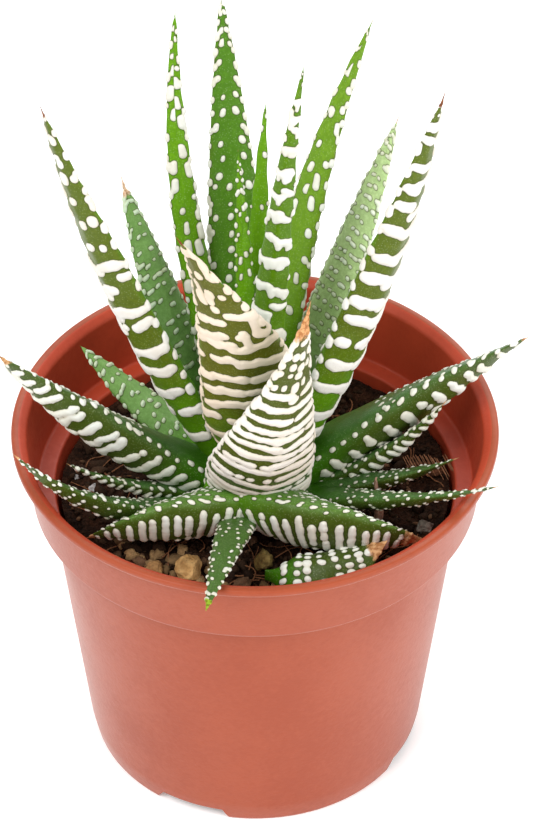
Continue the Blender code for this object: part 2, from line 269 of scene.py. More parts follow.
potShape = {"collarHeight": 13.7 * mm, "collarTop": 40.6 * mm, "collarLow": 39.2 * mm, "collarWall": 0.8 * mm,
            "lipHeight": 1.4 * mm, "lipWidth": 1.3 * mm, "lipBevel": 1.1 * mm, "wall": 1.0 * mm,
            "bodyTop": 36.2 * mm, "bodyLow": 30.4 * mm, "base": 29.6 * mm, "floor": 1.2 * mm,
            "footHeight": 4.0 * mm, "innerFoot": 3.6 * mm, "stepDrop": 0.9 * mm, "stepFlare": 0.5 * mm,
            "rounding": 0.55 * mm, "turns": 240, "sharpAngle": 38.0,
            "slotAngle": -112.43, "slotCount": 4, "slotWidth": 26.0, "slotHeight": 2.4 * mm,
            "slotDepth": 6.0 * mm, "slotSlope": 2.0, "slotSteps": 9}
potLook = {"color": (0.34, 0.060, 0.018, 1.0), "drift": (0.29, 0.047, 0.014, 1.0), "sheen": 0.30,
           # the inside colours are a brighter, redder copy of the plastic: painted glow of light through the
           # thin wall and bouncing inside
           "insideGlowColor": (0.47, 0.058, 0.023, 1.0), "insideGlowDrift": (0.40, 0.046, 0.018, 1.0),
           "insideSheen": 0.0,
           "specular": 0.3, "sheenRoughness": 0.35, "roughFrom": 0.36, "roughSpread": 0.22,
           "coarse": 45.0, "fine": 900.0, "amount": 0.7, "grain": 1500.0, "pits": 0.2, "bump": 0.10,
           "depth": 0.4 * mm}


def potMaterial(name, color, driftColor, sheen):
    made, tree, shader = newMaterial(name, potLook["roughFrom"], potLook["specular"])
    shader.inputs["Sheen Weight"].default_value = sheen
    shader.inputs["Sheen Roughness"].default_value = potLook["sheenRoughness"]
    mask = addFinish(tree, shader, potLook, color, driftColor)
    rough = rampMask(tree, mask, -1.2, 2.2)
    rough = calc(tree, "MULTIPLY_ADD", rough, potLook["roughSpread"], potLook["roughFrom"])
    tree.links.new(rough, shader.inputs["Roughness"])
    return made


def linkMesh(name, mesh, looks, replaced=()):
    piece = placeObject(name, mesh)
    for look in looks:
        mesh.materials.append(look)
    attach(piece, "root")
    if replaced:
        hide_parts(*replaced)


def gridMesh(name, points, capStart, capEnd, values=None):
    # a closed tube from rows of points, with a point to close each end
    rows, around = points.shape[:2]
    corners = np.vstack([points.reshape(-1, 3), capStart[None], capEnd[None]])
    row = np.arange(rows - 1)[:, None] * around
    step = np.arange(around)[None]
    after = (step + 1) % around
    quads = np.stack([row + step, row + after, row + around + after, row + around + step], -1).reshape(-1, 4)
    step, after = step[0], after[0]
    first = rows * around
    endRow = first - around
    startFan = np.stack([np.full(around, first), after, step], -1)
    endFan = np.stack([np.full(around, first + 1), endRow + step, endRow + after], -1)
    loops = np.concatenate([quads.ravel(), startFan.ravel(), endFan.ravel()])
    sizes = np.concatenate([np.full(len(quads), 4), np.full(2 * around, 3)])
    mesh = bpy.data.meshes.new(name)
    mesh.vertices.add(len(corners))
    mesh.vertices.foreach_set("co", corners.astype(np.float32).ravel())
    mesh.loops.add(len(loops))
    mesh.loops.foreach_set("vertex_index", loops.astype(np.int32))
    mesh.polygons.add(len(sizes))
    mesh.polygons.foreach_set("loop_start", (np.cumsum(sizes) - sizes).astype(np.int32))
    mesh.update(calc_edges=True)
    mesh.validate()
    mesh.shade_smooth()
    for key, data in (values or {}).items():
        layer = mesh.attributes.new(key, "FLOAT", "POINT")
        filled = np.concatenate([data.ravel(), [data[0, 0], data[-1, 0]]])
        layer.data.foreach_set("value", filled.astype(np.float32))
    return mesh


def addGridUv(mesh, rows, around):
    # one flat chart, with the seam's far side carried past the last column
    loops = np.zeros(len(mesh.loops), np.int32)
    mesh.loops.foreach_get("vertex_index", loops)
    low, high = 0.002, 0.996
    chart = np.zeros((len(loops), 2), np.float32)
    inside = loops < rows * around
    ends = np.where(loops == rows * around, 0.0, 1.0)
    chart[:, 0] = np.where(inside, (loops % around) / around, 0.5)
    chart[:, 1] = np.where(inside, (loops // around + 1) / (rows + 1), ends)
    quadCount = (rows - 1) * around
    block = chart[:quadCount * 4].reshape(-1, 4, 2)
    wrapped = (np.arange(quadCount) % around) == around - 1
    block[wrapped, 1, 0] = 1.0
    block[wrapped, 2, 0] = 1.0
    layer = mesh.uv_layers.new(name="OFBake")
    layer.data.foreach_set("uv", (low + chart * (high - low)).astype(np.float32).ravel())


def smoothProfile(corners, reach):
    # rounds each corner of an outline by cutting it back and laying a short curve over it
    steps = 4
    result = [corners[0]]
    for before, corner, after in zip(corners, corners[1:], corners[2:]):
        inward = min(reach, (corner - before).length * 0.45)
        outward = min(reach, (after - corner).length * 0.45)
        first = corner + (before - corner).normalized() * inward
        last = corner + (after - corner).normalized() * outward
        for step in range(steps + 1):
            share = step / steps
            result.append(first * (1 - share) ** 2 + corner * 2 * share * (1 - share) + last * share ** 2)
    result.append(corners[-1])
    return result


def turnedMesh(name, outline, steps):
    # turns an outline of (radius, height) around the pot's axis; both ends lie on the axis
    inner = outline[1:-1]
    turns = np.linspace(0.0, 2 * math.pi, steps, endpoint=False)
    radius = np.array([p[0] for p in inner])[:, None]
    height = np.array([p[1] for p in inner])[:, None]
    points = np.stack([radius * np.cos(turns), radius * np.sin(turns), height + 0 * turns], -1)
    first = np.array([0.0, 0.0, outline[0][1]])
    last = np.array([0.0, 0.0, outline[-1][1]])
    return gridMesh(name, points, first, last)


def potOutline():
    # up the outside, over the lip and down the inside
    wall, floor = potShape["wall"], potShape["floor"]
    lipBase = potTop - potShape["lipHeight"]
    step = potTop - potShape["collarHeight"]
    top, low = potShape["collarTop"], potShape["collarLow"]
    bodyTop, bodyLow, base = potShape["bodyTop"], potShape["bodyLow"], potShape["base"]
    corners = [
        (base - 4 * mm, 0.0), (base, 0.0), (bodyLow, potShape["footHeight"]),
        (bodyTop, step - potShape["stepDrop"]), (bodyTop + potShape["stepFlare"], step - 0.1 * mm),
        (low, step), (top, lipBase), (potRadius, lipBase), (potRadius, potTop),
        (potRadius - potShape["lipWidth"], potTop),
        (top - potShape["collarWall"], potTop - potShape["lipBevel"]),
        (low - potShape["collarWall"], step + wall), (bodyTop - wall, step + wall),
        (bodyLow - wall, potShape["innerFoot"]), (base - wall, floor), (base - 8 * mm, floor),
    ]
    rounded = smoothProfile([Vector((x, y, 0.0)) for x, y in corners], potShape["rounding"])
    return [(0.0, 0.0)] + [(p.x, p.y) for p in rounded] + [(0.0, floor)]


def slotCutter(angle):
    # a wedge that opens one drain slot through the foot ring, a little wider at its bottom
    shape = bmesh.new()
    inner = potShape["base"] - potShape["slotDepth"]
    outer = potShape["bodyLow"] + 4 * mm
    steps, slope = potShape["slotSteps"], potShape["slotSlope"]
    rows = []
    for height, widen in ((-1 * mm, slope), (potShape["slotHeight"], -slope)):
        half = potShape["slotWidth"] / 2 + widen
        turns = [math.radians(angle - half + 2 * half * step / steps) for step in range(steps + 1)]
        ring = [(inner * math.cos(turn), inner * math.sin(turn), height) for turn in turns]
        ring += [(outer * math.cos(turn), outer * math.sin(turn), height) for turn in reversed(turns)]
        rows.append([shape.verts.new(point) for point in ring])
    count = len(rows[0])
    for step in range(count):
        after = (step + 1) % count
        shape.faces.new((rows[0][step], rows[0][after], rows[1][after], rows[1][step]))
    for step in range(steps):
        far = count - 1 - step
        shape.faces.new((rows[0][step + 1], rows[0][step], rows[0][far], rows[0][far - 1]))
        shape.faces.new((rows[1][step], rows[1][step + 1], rows[1][far - 1], rows[1][far]))
    bmesh.ops.recalc_face_normals(shape, faces=shape.faces[:])
    mesh = bpy.data.meshes.new("slotCutter")
    shape.to_mesh(mesh)
    shape.free()
    cutter = placeObject("slotCutter", mesh)
    return cutter


def buildPot():
    mesh = turnedMesh("pot_body", potOutline(), potShape["turns"])
    piece = placeObject("pot_shell", mesh)
    cutters = []
    for index in range(potShape["slotCount"]):
        cutter = slotCutter(potShape["slotAngle"] + index * 360 / potShape["slotCount"])
        modifier = piece.modifiers.new("slot", "BOOLEAN")
        modifier.operation = "DIFFERENCE"
        modifier.object = cutter
        cutters.append(cutter)
    bpy.context.view_layer.update()
    cut = bpy.data.meshes.new_from_object(piece.evaluated_get(bpy.context.evaluated_depsgraph_get()))
    for extra in cutters + [piece]:
        bpy.data.objects.remove(extra, do_unlink=True)
    cut.materials.clear()
    cut.shade_smooth()
    cut.set_sharp_from_angle(angle=math.radians(potShape["sharpAngle"]))
    outside = potMaterial("pot_plastic", potLook["color"], potLook["drift"], potLook["sheen"])
    # the inner wall and ledge take a brighter, redder copy of the plastic, as painted glow of light through
    # the wall
    inside = potMaterial("pot_inside_painted_glow", potLook["insideGlowColor"], potLook["insideGlowDrift"], potLook["insideSheen"])
    for face in cut.polygons:
        away = Vector((face.center.x, face.center.y, 0.0)).normalized()
        facesIn = face.normal.dot(away) < -0.3
        onLedge = face.normal.z > 0.3 and math.hypot(face.center.x, face.center.y) < potShape["collarLow"]
        if face.center.z > potShape["floor"] * 0.5 and (facesIn or onLedge):
            face.material_index = 1
    linkMesh("pot_body", cut, [outside, inside], ("pot",))


soilLook = {"rings": 96, "turns": 420, "sideRows": 6, "lump": 1.1 * mm, "lumpScale": 0.16,
            "fineLump": 0.22 * mm,
            "fineScale": 1.1, "crownFrom": 5 * mm, "crownOver": 4 * mm, "bank": 0.9 * mm, "bankFrom": 28 * mm,
            "bankOver": 6 * mm, "roughness": 0.92, "specular": 0.1, "color": (0.012, 0.0055, 0.003, 1.0),
            "drift": (0.060, 0.024, 0.012, 1.0), "coarse": 260.0, "fine": 1700.0, "amount": 0.85,
            "grain": 1400.0, "pits": 1.0, "bump": 0.8, "depth": 0.8 * mm}


def shareOf(value, start, over):
    return min(1.0, max(0.0, (value - start) / over))


def soilHeight(x, y):
    # clods and hollows round the crown, banked up a little where the peat meets the pot
    spot = Vector((x, y, 0.0)) / mm
    lumps = noise.fractal(spot * soilLook["lumpScale"] + Vector((3.1, 8.2, 0.4)), 0.9, 2.1, 4)
    fine = noise.noise(spot * soilLook["fineScale"] + Vector((11.0, 4.0, 2.0)))
    radius = math.hypot(x, y)
    fade = shareOf(radius, soilLook["crownFrom"], soilLook["crownOver"])
    bank = soilLook["bank"] * shareOf(radius, soilLook["bankFrom"], soilLook["bankOver"]) ** 2
    return soilTop + bank + fade * (soilLook["lump"] * lumps + soilLook["fineLump"] * fine)


def buildSoil():
    # straight sides that follow the pot's taper, under a rough top
    rings, floor, edge = soilLook["rings"], soilLow.z, soilHigh.x
    angles = np.linspace(0.0, 2 * math.pi, soilLook["turns"], endpoint=False)
    rows = [[(edge * 0.83 * math.cos(a), edge * 0.83 * math.sin(a), floor) for a in angles]]
    for height in np.linspace(floor + 2 * mm, soilTop - 2 * mm, soilLook["sideRows"]):
        share = (height - floor) / (soilTop - floor)
        radius = edge * (0.845 + 0.15 * share)
        rows.append([(radius * math.cos(a), radius * math.sin(a), height) for a in angles])
    for ring in range(rings):
        radius = edge * 0.998 * (1.0 - ring / rings)
        spots = [(radius * math.cos(a), radius * math.sin(a)) for a in angles]
        rows.append([(x, y, soilHeight(x, y)) for x, y in spots])
    mesh = gridMesh("soil_bed", np.array(rows), np.array([0.0, 0.0, floor]),
                    np.array([0.0, 0.0, soilHeight(0.0, 0.0)]))
    linkMesh("soil_bed", mesh, [plainMaterial("soil_peat", soilLook)], ("soil",))


def lumpShape(subdivisions, seed, roughness, cuts):
    # an icosphere cut flat by a few planes and then worn by noise, one unit across
    rng = random.Random(seed)
    shape = bmesh.new()
    bmesh.ops.create_icosphere(shape, subdivisions=subdivisions, radius=0.5)
    shift = Vector((rng.uniform(0, 60), rng.uniform(0, 60), rng.uniform(0, 60)))
    planes = []
    for _ in range(cuts):
        away = Vector((rng.gauss(0, 1), rng.gauss(0, 1), rng.gauss(0, 1))).normalized()
        planes.append((away, rng.uniform(0.30, 0.42)))
    for vertex in shape.verts:
        spot = vertex.co.copy()
        for away, limit in planes:
            over = spot.dot(away) - limit
            if over > 0:
                spot -= away * over * 0.9
        worn = noise.fractal(spot * 3.0 + shift, 0.8, 2.2, 5)
        vertex.co = spot * (1.0 + roughness * worn)
    return shape


def stoneMesh(name, low, high, seed, look):
    # one lump fitted to the frame's box and let down a little into the soil
    shape = lumpShape(5, seed, look["worn"], look["cuts"])
    size = high - low
    flat = Matrix.Diagonal((size.x, size.y, size.z, 1.0))
    spread = max(max(abs(v.co.x), abs(v.co.y), abs(v.co.z)) for v in shape.verts) * 2
    bmesh.ops.transform(shape, matrix=flat @ Matrix.Scale(1 / spread, 4), verts=shape.verts)
    bmesh.ops.translate(shape, vec=(low + high) / 2 - Vector((0, 0, 0.25 * mm)), verts=shape.verts)
    mesh = bpy.data.meshes.new(name)
    shape.to_mesh(mesh)
    shape.free()
    mesh.shade_smooth()
    tone = mesh.attributes.new("tone", "FLOAT", "POINT")
    shift = Vector((seed, 0, 0))
    tone.data.foreach_set("value", [0.5 + 0.5 * noise.noise(v.co / mm * 0.8 + shift) for v in mesh.vertices])
    return mesh


stoneLooks = {
    "stone_ochre": {"dark": (0.34, 0.17, 0.05, 1), "light": (0.76, 0.48, 0.20, 1), "worn": 0.16, "cuts": 9},
    "stone_small_ochre": {"dark": (0.28, 0.14, 0.05, 1), "light": (0.62, 0.36, 0.15, 1), "worn": 0.18},
    "stone_pink": {"dark": (0.22, 0.12, 0.08, 1), "light": (0.52, 0.34, 0.25, 1), "worn": 0.16},
    "stone_olive": {"dark": (0.13, 0.08, 0.02, 1), "light": (0.36, 0.26, 0.09, 1)},
    "stone_tan": {"dark": (0.14, 0.10, 0.05, 1), "light": (0.36, 0.29, 0.17, 1)},
    "stone_grey": {"dark": (0.12, 0.10, 0.08, 1), "light": (0.34, 0.30, 0.25, 1)},
    "stone_back": {"dark": (0.15, 0.10, 0.05, 1), "light": (0.42, 0.32, 0.18, 1)},
    "stone_left": {"dark": (0.08, 0.05, 0.03, 1), "light": (0.24, 0.16, 0.10, 1), "worn": 0.24, "cuts": 7},
    "bark_front": {"dark": (0.05, 0.024, 0.012, 1), "light": (0.20, 0.11, 0.06, 1), "worn": 0.3, "cuts": 5},
    "bark_chip": {"dark": (0.035, 0.014, 0.008, 1), "light": (0.24, 0.10, 0.05, 1), "worn": 0.3, "cuts": 5},
    "perlite_outer": {"dark": (0.45, 0.43, 0.42, 1), "light": (0.78, 0.77, 0.76, 1), "worn": 0.22, "cuts": 6},
    "perlite_inner": {"dark": (0.50, 0.48, 0.47, 1), "light": (0.85, 0.84, 0.83, 1), "worn": 0.22, "cuts": 6},
}
stoneDefaults = {"worn": 0.2, "cuts": 8, "roughness": 0.82, "scale": 500.0}


def buildStones():
    for seed, (node, own) in enumerate(stoneLooks.items()):
        look = {**stoneDefaults, **own}
        low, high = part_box(node)
        mesh = stoneMesh(node + "_grain", low, high, seed + 3, look)
        skin = toneMaterial(node + "_skin", look["dark"], look["light"], look["roughness"], look["scale"])
        linkMesh(node + "_grain", mesh, [skin], (node,))


scatterLooks = {
    "soil_crumbs": {"count": 1500, "size": (0.45, 1.5), "detail": 1, "reach": (0.02, 1.0), "turn": (0, 360),
                    "pale": 0.16, "dark": (0.013, 0.006, 0.0035, 1), "light": (0.24, 0.125, 0.065, 1)},
    "soil_clods": {"count": 190, "size": (1.5, 3.1), "detail": 2, "reach": (0.02, 1.0), "turn": (0, 360),
                   "pale": 0.14, "dark": (0.014, 0.0065, 0.004, 1), "light": (0.22, 0.12, 0.065, 1)},
    "soil_grit": {"count": 100, "size": (1.1, 3.1), "detail": 2, "reach": (0.40, 0.96), "turn": (205, 330),
                  "pale": 1.0, "dark": (0.055, 0.028, 0.012, 1), "light": (0.50, 0.31, 0.14, 1)},
}
scatterRules = {"shapes": 6, "worn": 0.32, "margin": 1.6 * mm, "lift": 0.12, "roughness": 0.9, "scale": 900.0}


def buildScatter(name, seed):
    # loose peat, bark crumbs and grit pressed into the surface, one mesh of each with a tone for every lump
    look, rules = scatterLooks[name], scatterRules
    rng = random.Random(seed)
    corners, faces, tones = [], [], []
    cuts = 2 + 2 * look["detail"]
    library = [lumpShape(look["detail"], seed + index, rules["worn"], cuts)
               for index in range(rules["shapes"])]
    for _ in range(look["count"]):
        shape = library[rng.randrange(rules["shapes"])]
        radius = (soilHigh.x - rules["margin"]) * math.sqrt(rng.uniform(*look["reach"]))
        turn = math.radians(rng.uniform(*look["turn"]))
        x, y = radius * math.cos(turn), radius * math.sin(turn)
        size = rng.uniform(*look["size"]) * mm
        spin = Matrix.Rotation(rng.uniform(0, 6.28), 3, (rng.gauss(0, 1), rng.gauss(0, 1), rng.gauss(0, 1)))
        stretch = Matrix.Diagonal((rng.uniform(0.7, 1.7), rng.uniform(0.7, 1.1), rng.uniform(0.6, 1.0)))
        place = Vector((x, y, soilHeight(x, y) + size * rules["lift"]))
        turned = spin @ stretch * size
        first = len(corners)
        corners += [turned @ vertex.co + place for vertex in shape.verts]
        faces += [[first + vertex.index for vertex in face.verts] for face in shape.faces]
        tone = rng.uniform(0.2, 1.0) if rng.random() < look["pale"] else rng.uniform(0.0, 0.2)
        tones += [tone] * len(shape.verts)
    for shape in library:
        shape.free()
    mesh = bpy.data.meshes.new(name)
    mesh.from_pydata(corners, [], faces)
    mesh.shade_smooth()
    layer = mesh.attributes.new("tone", "FLOAT", "POINT")
    layer.data.foreach_set("value", tones)
    skin = toneMaterial(name + "_skin", look["dark"], look["light"], rules["roughness"], rules["scale"])
    linkMesh(name, mesh, [skin])


def fibreCurve(name, strands, look):
    # strands are lists of (x, y, z, radius share)
    data = bpy.data.curves.new(name, "CURVE")
    data.dimensions = "3D"
    data.bevel_depth = look["thickness"]
    data.bevel_resolution = 2
    data.resolution_u = 3
    data.use_fill_caps = True
    for strand in strands:
        spline = data.splines.new("NURBS")
        spline.points.add(len(strand) - 1)
        for point, spot in zip(spline.points, strand):
            point.co = (*spot[:3], 1.0)
            point.radius = spot[3]
        spline.use_endpoint_u = True
        spline.order_u = 4
    piece = placeObject(name, data)
    skin = toneMaterial(look["skin"], look["color"], look["color"], look["roughness"], look["scale"])
    data.materials.append(skin)
    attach(piece, "root")


rootletLook = {"count": 110, "reach": (0.45, 0.93), "bend": 0.22, "wander": 0.25, "step": (0.8, 1.5),
               "points": (6, 15), "fewest": 5, "margin": 0.8 * mm, "lift": 0.35 * mm, "liftSpread": 0.6 * mm,
               "thickness": 0.11 * mm, "skin": "rootlet_skin", "color": (0.30, 0.13, 0.06, 1),
               "roughness": 0.75, "scale": 800.0}
chipFibreLook = {"count": 22, "length": (2.4, 6.0), "lift": 0.7 * mm, "lean": 0.34, "steps": 4, "taper": 0.12,
                 "thickness": 0.10 * mm, "skin": "chip_fibre_skin", "color": (0.42, 0.20, 0.10, 1),
                 "roughness": 0.7, "scale": 700.0}


def rootletStrands(rng):
    # curly rootlets that run over the peat
    look, strands = rootletLook, []
    for _ in range(look["count"]):
        turn = rng.uniform(0, 2 * math.pi)
        radius = rng.uniform(*look["reach"]) * soilHigh.x
        heading = rng.uniform(0, 2 * math.pi)
        bend = rng.gauss(0, look["bend"])
        x, y = radius * math.cos(turn), radius * math.sin(turn)
        strand = []
        step = rng.uniform(*look["step"]) * mm
        for _ in range(rng.randrange(*look["points"])):
            if math.hypot(x, y) > soilHigh.x - look["margin"]:
                break
            lift = look["lift"] + look["liftSpread"] * rng.random()
            strand.append((x, y, soilHeight(x, y) + lift, rng.uniform(0.6, 1.3)))
            heading += bend + rng.gauss(0, look["wander"])
            x += step * math.cos(heading)
            y += step * math.sin(heading)
        if len(strand) >= look["fewest"]:
            strands.append(strand)
    return strands


def chipStrands(rng):
    # a few straight tan fibres lying side by side on the bark chip
    look, strands = chipFibreLook, []
    low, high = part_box("bark_chip")
    middle = (low + high) / 2
    top = max(high.z, soilHeight(middle.x, middle.y) + look["lift"])
    for index in range(look["count"]):
        side = low.x + (high.x - low.x) * index / (look["count"] - 1)
        length = rng.uniform(*look["length"]) * mm
        start = Vector((side, rng.uniform(middle.y, high.y), top + rng.uniform(-0.1, 0.15) * mm))
        away = Vector((look["lean"] + rng.gauss(0, 0.02), -1.0, rng.gauss(0, 0.01))).normalized()
        strands.append([(*(start + away * length * step / look["steps"]), 1.0 - look["taper"] * step)
                        for step in range(look["steps"] + 1)])
    return strands


def buildFibres():
    rng = random.Random(77)
    fibreCurve("soil_rootlets", rootletStrands(rng), rootletLook)
    fibreCurve("bark_fibres", chipStrands(rng), chipFibreLook)


widestAt = 0.28  # share of the length where a blade is widest
innerShare = 0.32  # share of the thickness that lies on the inner face
footGain = 0.3  # how much wider a hidden foot is than the foot share says
earlyBenders = ("leaf_15", "leaf_18", "leaf_22")  # sweep evenly along the blade, not mostly near the tip
narrowFeet = ("leaf_07", "leaf_19", "leaf_22")  # keep the foot share as it is
fineLeaves = ("leaf_07", "leaf_08", "leaf_09", "leaf_10", "leaf_15")  # broad ones in front, on a finer grid
unionSharpness = 5.5  # higher keeps close marks apart
pearlHeight = 0.36  # how far a mark stands out, in mm

# seat azimuth, seat radius, seat height over the soil, turn of the heading from that azimuth, rise, curl,
# sweep and roll (degrees, mm), then length, width, thickness, foot share and fullness
leafShapes = {
    "leaf_01": (104, 1.8, 12, 0, 80, 0, 0, 0, 56, 4.0, 2.0, 0.4, 1.5),
    "leaf_02": (88, 2.2, 10, 0, 78, -12, -9, 0, 63, 5.0, 2.4, 0.4, 1.5),
    "leaf_03": (-58, 1.4, 12, 0, 85, -3, 50, -60, 87, 5.8, 3.4, 0.5, 1.5),
    "leaf_04": (129, 4.6, 9, 0, 66, 8, -54, 0, 81, 6.0, 3.4, 0.5, 1.5),
    "leaf_05": (99, 3.6, 7, 0, 60, 12, 0, 0, 82, 11.0, 3.6, 0.4, 1.5),
    "leaf_06": (48, 3.6, 10, 0, 88, -34, 0, 0, 82, 8.2, 3.6, 0.5, 1.6),
    "leaf_07": (-90, 4.6, 9, 0, 74, -12, -78, 16, 76, 17.0, 7.0, 0.4, 1.85),
    "leaf_08": (-87, 5.0, 6, 0, 52, 28, 72, 0, 68, 18.0, 8.0, 0.8, 1.35),
    "leaf_09": (-5, 4.6, 8, 0, 67, 10, 0, -44, 86, 12.5, 5.6, 0.5, 1.5),
    "leaf_10": (185, 4.6, 8, 0, 63, 12, 0, 44, 85, 12.0, 5.4, 0.5, 1.5),
    "leaf_11": (140, 4.8, 6, 0, 54, 18, 0, 0, 56, 9.5, 3.8, 0.5, 1.8),
    "leaf_12": (40, 4.8, 6, 0, 65, 2, 0, 0, 67, 10.0, 4.0, 0.5, 1.8),
    "leaf_13": (188, 5.0, 5, 0, 28, 22, 0, 44, 51, 15.5, 8.0, 0.7, 2.3),
    "leaf_14": (8, 5.0, 5, 0, 32, -4, 0, -44, 50, 15.0, 8.0, 0.7, 2.3),
    "leaf_15": (-104, 7.2, 8.5, 52, 10, -28, 60, -56, 36, 18.0, 9.5, 0.9, 2.6),
    "leaf_16": (156, 5.0, 4, 0, 22, 20, 0, 0, 34, 8.5, 4.0, 0.5, 1.9),
    "leaf_17": (-4, 5.2, 2, 0, 14, 46, 0, -40, 36, 7.5, 4.0, 0.5, 1.5),
    "leaf_18": (-82, 7.4, 8, -60, 10, -29, -36, 56, 33, 15.5, 8.5, 0.9, 2.4),
    "leaf_19": (-99, 5.2, 2, 0, 31, -22, 0, 0, 49, 6.4, 3.4, 0.35, 1.5),
    "leaf_20": (213, 5.2, 2, 0, 7, 48, -28, 36, 49, 8.0, 4.6, 0.4, 1.9),
    "leaf_21": (200, 5.2, 3, 0, 8, 30, -12, 30, 32, 5.5, 3.2, 0.5, 1.5),
    "leaf_22": (-86, 25.2, 2.7, -104, 182, -44, 26, 12, 23, 8.5, 6.0, 0.12, 2.6),
    "leaf_23": (-35, 5.2, 3, 0, 20, 8, 20, -26, 47, 6.5, 3.6, 0.5, 1.5),
    "leaf_24": (-14, 5.2, 3, 0, 8, 28, 0, -26, 34, 7.0, 3.8, 0.5, 1.9),
    "leaf_25": (70, 5.2, 3, 0, 24, 8, 0, 0, 33, 8.5, 3.8, 0.5, 1.5),
    "leaf_26": (115, 5.2, 3, 0, 22, 10, 0, 0, 33, 8.5, 3.8, 0.5, 1.5),
}

# pitch and band are the spacing and half width of the outer bands in mm, slant is how far a band's ends lie
# above the keel, reach is how much of the outer face it covers, and pearls is the spacing on the inner face
leafDefaults = {"links": 0.0, "loose": 1.0, "skew": 0.0, "sparse": 0.1, "drops": 0.0, "pearlTall": 1.4,
                "pearlAcross": 0.0, "stray": 0.2, "stagger": 0.0, "pinch": 0.62}
leafLooks = {
    "heart": {"pitch": 6.5, "band": 0.5, "slant": -1.0, "reach": 0.5, "breaks": 0.6, "bandFrom": 0.25,
              "bandTo": 0.35, "edge": 6.0, "edgeSize": 0.7, "pearls": 6.0, "pearlFrom": 0.3,
              "pearlSize": 0.42, "pearlStep": 9.0, "dry": 0.99, "skin": "heart"},
    "tall": {"pitch": 5.2, "band": 0.75, "slant": -1.6, "reach": 1.0, "breaks": 0.3, "links": 0.05,
             "bandFrom": 0.2, "bandTo": 0.7, "edge": 3.8, "edgeSize": 0.72, "pearls": 4.4,
             "pearlFrom": 0.24, "pearlSize": 0.62, "pearlStep": 9.0, "pearlTall": 2.6, "stagger": 0.5,
             "dry": 0.985, "skin": "light"},
    "zigzag": {"pitch": 5.6, "band": 0.62, "slant": -1.4, "reach": 1.0, "breaks": 0.0, "bandFrom": 0.15,
               "bandTo": 0.95, "edge": 6.4, "edgeSize": 0.9, "pearls": 7.0, "pearlFrom": 0.2,
               "pearlSize": 0.5, "pearlStep": 9.0, "drops": 1.7, "dry": 0.995, "skin": "heart"},
    "banded": {"pitch": 5.0, "band": 0.98, "slant": -0.9, "reach": 0.97, "breaks": 0.06, "links": 0.16,
               "bandFrom": 0.12, "bandTo": 0.74, "edge": 2.7, "edgeSize": 0.85, "pearls": 3.2,
               "pearlFrom": 0.35, "pearlSize": 0.5, "pearlStep": 3.0, "loose": 1.25, "dry": 0.965,
               "skin": "banded"},
    "striped": {"pitch": 3.0, "band": 0.74, "slant": 0.9, "reach": 1.0, "breaks": 0.03, "links": 0.02,
                "bandFrom": 0.05, "bandTo": 0.70, "edge": 2.1, "edgeSize": 0.85, "pearls": 3.0,
                "pearlFrom": 0.3, "pearlSize": 0.5, "pearlStep": 3.0, "dry": 0.88, "loose": 0.85,
                "skin": "striped"},
    "barred": {"pitch": 5.5, "band": 0.96, "slant": 1.2, "reach": 0.95, "breaks": 0.05, "loose": 0.9,
               "bandFrom": 0.12, "bandTo": 0.85, "edge": 4.2, "edgeSize": 0.8, "sparse": 0.35,
               "pearls": 4.4, "pearlFrom": 0.3, "pearlSize": 0.45, "pearlStep": 9.0, "pearlTall": 2.4,
               "dry": 0.975, "skin": "olive"},
    "speckled": {"pitch": 2.7, "band": 0.42, "slant": 0.6, "reach": 0.95, "breaks": 0.4, "bandFrom": 0.15,
                 "bandTo": 0.6, "edge": 2.3, "edgeSize": 0.95, "pearls": 2.3, "pearlFrom": 0.16,
                 "pearlSize": 0.40, "pearlStep": 1.5, "pearlAcross": 1.0, "pearlTall": 2.0, "stray": 0.08,
                 "dry": 0.95, "skin": "fresh"},
    "spread": {"pitch": 3.3, "band": 0.70, "slant": -0.6, "reach": 0.86, "breaks": 0.05, "links": 0.02,
               "bandFrom": 0.14, "bandTo": 0.9, "edge": 2.6, "edgeSize": 0.62, "pearls": 1.8,
               "pearlFrom": 0.42, "pearlSize": 0.31, "pearlStep": 1.6, "dry": 0.965, "skin": "grey"},
    "low": {"pitch": 2.3, "band": 0.37, "slant": -0.6, "reach": 0.86, "breaks": 0.02, "loose": 0.25,
            "bandFrom": 0.12, "bandTo": 0.9, "edge": 2.2, "edgeSize": 0.8, "pearls": 1.6, "pearlFrom": 0.33,
            "pearlSize": 0.28, "pearlStep": 1.35, "dry": 0.96, "skin": "grey"},
}
leafKinds = {
    "heart": (1, 2), "zigzag": (3,), "tall": (4, 5, 6), "banded": (7,), "striped": (8,), "barred": (9, 10),
    "speckled": (11, 12, 16, 25, 26), "spread": (13, 14), "low": (15, 17, 18, 19, 20, 21, 22, 23, 24),
}
kindOf = {f"leaf_{number:02d}": kind for kind, numbers in leafKinds.items() for number in numbers}
